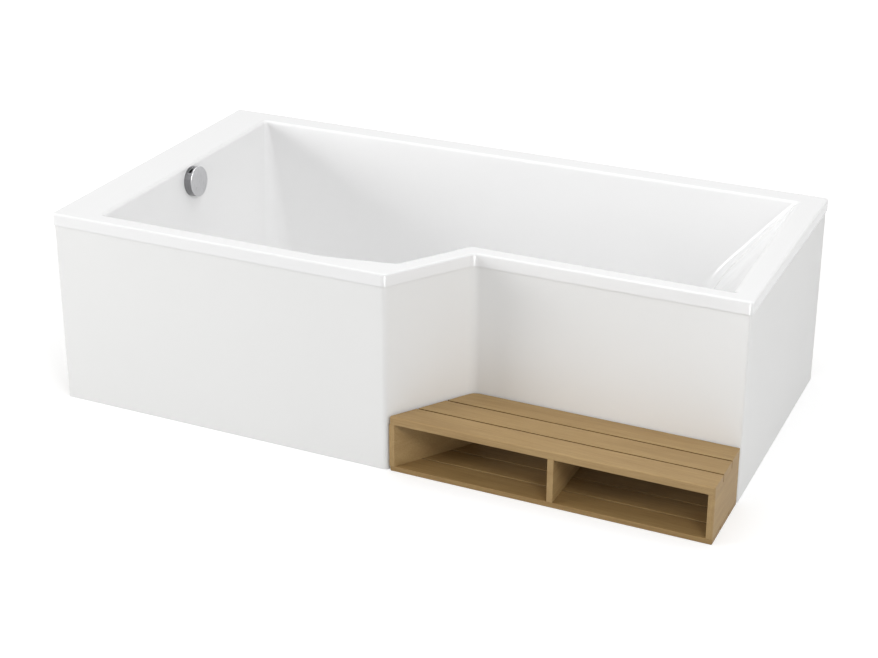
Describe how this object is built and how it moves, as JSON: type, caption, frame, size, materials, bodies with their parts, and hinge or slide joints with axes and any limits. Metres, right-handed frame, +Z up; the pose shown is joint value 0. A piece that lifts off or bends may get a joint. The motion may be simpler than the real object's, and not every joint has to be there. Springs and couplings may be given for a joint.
{
  "type": "corner shower bath",
  "caption": "Acrylic bath with a stepped front for a corner, on a levelling cradle, with panels, a pop-up waste with overflow knob and a slatted wooden step.",
  "frame": {"origin": "middle of the footprint, on the floor", "axes": "+X along the length towards the narrow reclined end, the fronts face -Y, +Z up"},
  "size_m": [1.7, 0.9, 0.502],
  "materials": {
    "white_acrylic": "glossy white sanitary acrylic",
    "frame_timber": "sawn softwood",
    "zinc_steel": "zinc plated",
    "satin_steel": "satin brushed",
    "chrome_trim": "polished",
    "black_rubber": "matt",
    "white_plastic": "moulded",
    "grey_plastic": "moulded",
    "black_plastic": "moulded",
    "step_wood": "smooth hardwood under a thin matt oil",
    "dowel_wood": "planed beech"
  },
  "bodies": {
    "bath": {"tub_shell": "white_acrylic", "front_panel": "white_acrylic", "end_panel": "white_acrylic", "baseboard": "frame_timber", "rim_batten_front": "frame_timber", "rim_batten_narrow": "frame_timber", "rim_batten_right": "frame_timber", "rim_batten_back": "frame_timber", "rim_batten_left": "frame_timber", "floor_batten_front": "frame_timber", "floor_batten_narrow": "frame_timber", "floor_batten_end": "frame_timber", "cross_bar_wide": "zinc_steel", "cross_bar_narrow": "zinc_steel", "centre_foot_plate": "zinc_steel", "cradle_screws": "zinc_steel", "leg_nuts": "zinc_steel", "wall_clips": "zinc_steel", "lever_pin": "satin_steel", "overflow_plate": "chrome_trim", "waste_flange": "chrome_trim", "overflow_gasket": "black_rubber", "waste_gasket": "black_rubber", "overflow_body": "white_plastic", "waste_body": "white_plastic", "trap_body": "white_plastic", "slip_nuts": "white_plastic", "outlet_pipe": "white_plastic", "pipe_saddle": "white_plastic", "panel_clips": "white_plastic", "overflow_hose": "grey_plastic", "hose_collars": "grey_plastic", "control_cable": "black_plastic"},
    "knob": {"overflow_knob": "satin_steel", "knob_spindle": "satin_steel", "cable_drum": "white_plastic"},
    "plug": {"plug_cap": "chrome_trim", "plug_seal": "black_rubber", "plug_stem": "satin_steel"},
    "lever": {"lift_lever": "white_plastic"},
    "step": {"top_slat_front": "step_wood", "top_slat_middle": "step_wood", "top_slat_back": "step_wood", "low_slat_front": "step_wood", "low_slat_middle": "step_wood", "low_slat_back": "step_wood", "step_slant_board": "step_wood", "step_end_board": "step_wood", "step_divider": "step_wood", "step_dowels": "dowel_wood"},
    "foot_1": {"leg_rod_1": "zinc_steel", "foot_pad_1": "black_plastic"},
    "foot_2": {"leg_rod_2": "zinc_steel", "foot_pad_2": "black_plastic"},
    "foot_3": {"leg_rod_3": "zinc_steel", "foot_pad_3": "black_plastic"},
    "foot_4": {"leg_rod_4": "zinc_steel", "foot_pad_4": "black_plastic"},
    "foot_5": {"leg_rod_5": "zinc_steel", "foot_pad_5": "black_plastic"}
  },
  "joints": [
    {"name": "overflow_knob_turn", "type": "hinge", "parent": "bath", "child": "knob", "pos_m": [-0.7244, -0.009, 0.457], "axis": [0.9954, 0, 0.0958], "range_deg": [0, 90]},
    {"name": "plug_lift", "type": "slide", "parent": "bath", "child": "plug", "axis": [0, 0, 1], "range_m": [0, 0.01]},
    {"name": "lift_lever_turn", "type": "hinge", "parent": "bath", "child": "lever", "pos_m": [-0.54163, -0.009, 0.0625], "axis": [0, 1, 0], "range_deg": [0, 30]},
    {"name": "step_pull_out", "type": "slide", "parent": "bath", "child": "step", "axis": [0, -1, 0], "range_m": [0, 0.35]},
    {"name": "foot_1_level", "type": "slide", "parent": "bath", "child": "foot_1", "axis": [0, 0, 1], "range_m": [-0.01, 0.015]},
    {"name": "foot_2_level", "type": "slide", "parent": "bath", "child": "foot_2", "axis": [0, 0, 1], "range_m": [-0.01, 0.015]},
    {"name": "foot_3_level", "type": "slide", "parent": "bath", "child": "foot_3", "axis": [0, 0, 1], "range_m": [-0.01, 0.015]},
    {"name": "foot_4_level", "type": "slide", "parent": "bath", "child": "foot_4", "axis": [0, 0, 1], "range_m": [-0.01, 0.015]},
    {"name": "foot_5_level", "type": "slide", "parent": "bath", "child": "foot_5", "axis": [0, 0, 1], "range_m": [-0.01, 0.015]}
  ],
  "couplings": [
    {"joint": "plug_lift", "follows": "overflow_knob_turn", "m_per_rad": 0.0063662},
    {"joint": "lift_lever_turn", "follows": "overflow_knob_turn", "ratio": 0.33333}
  ]
}
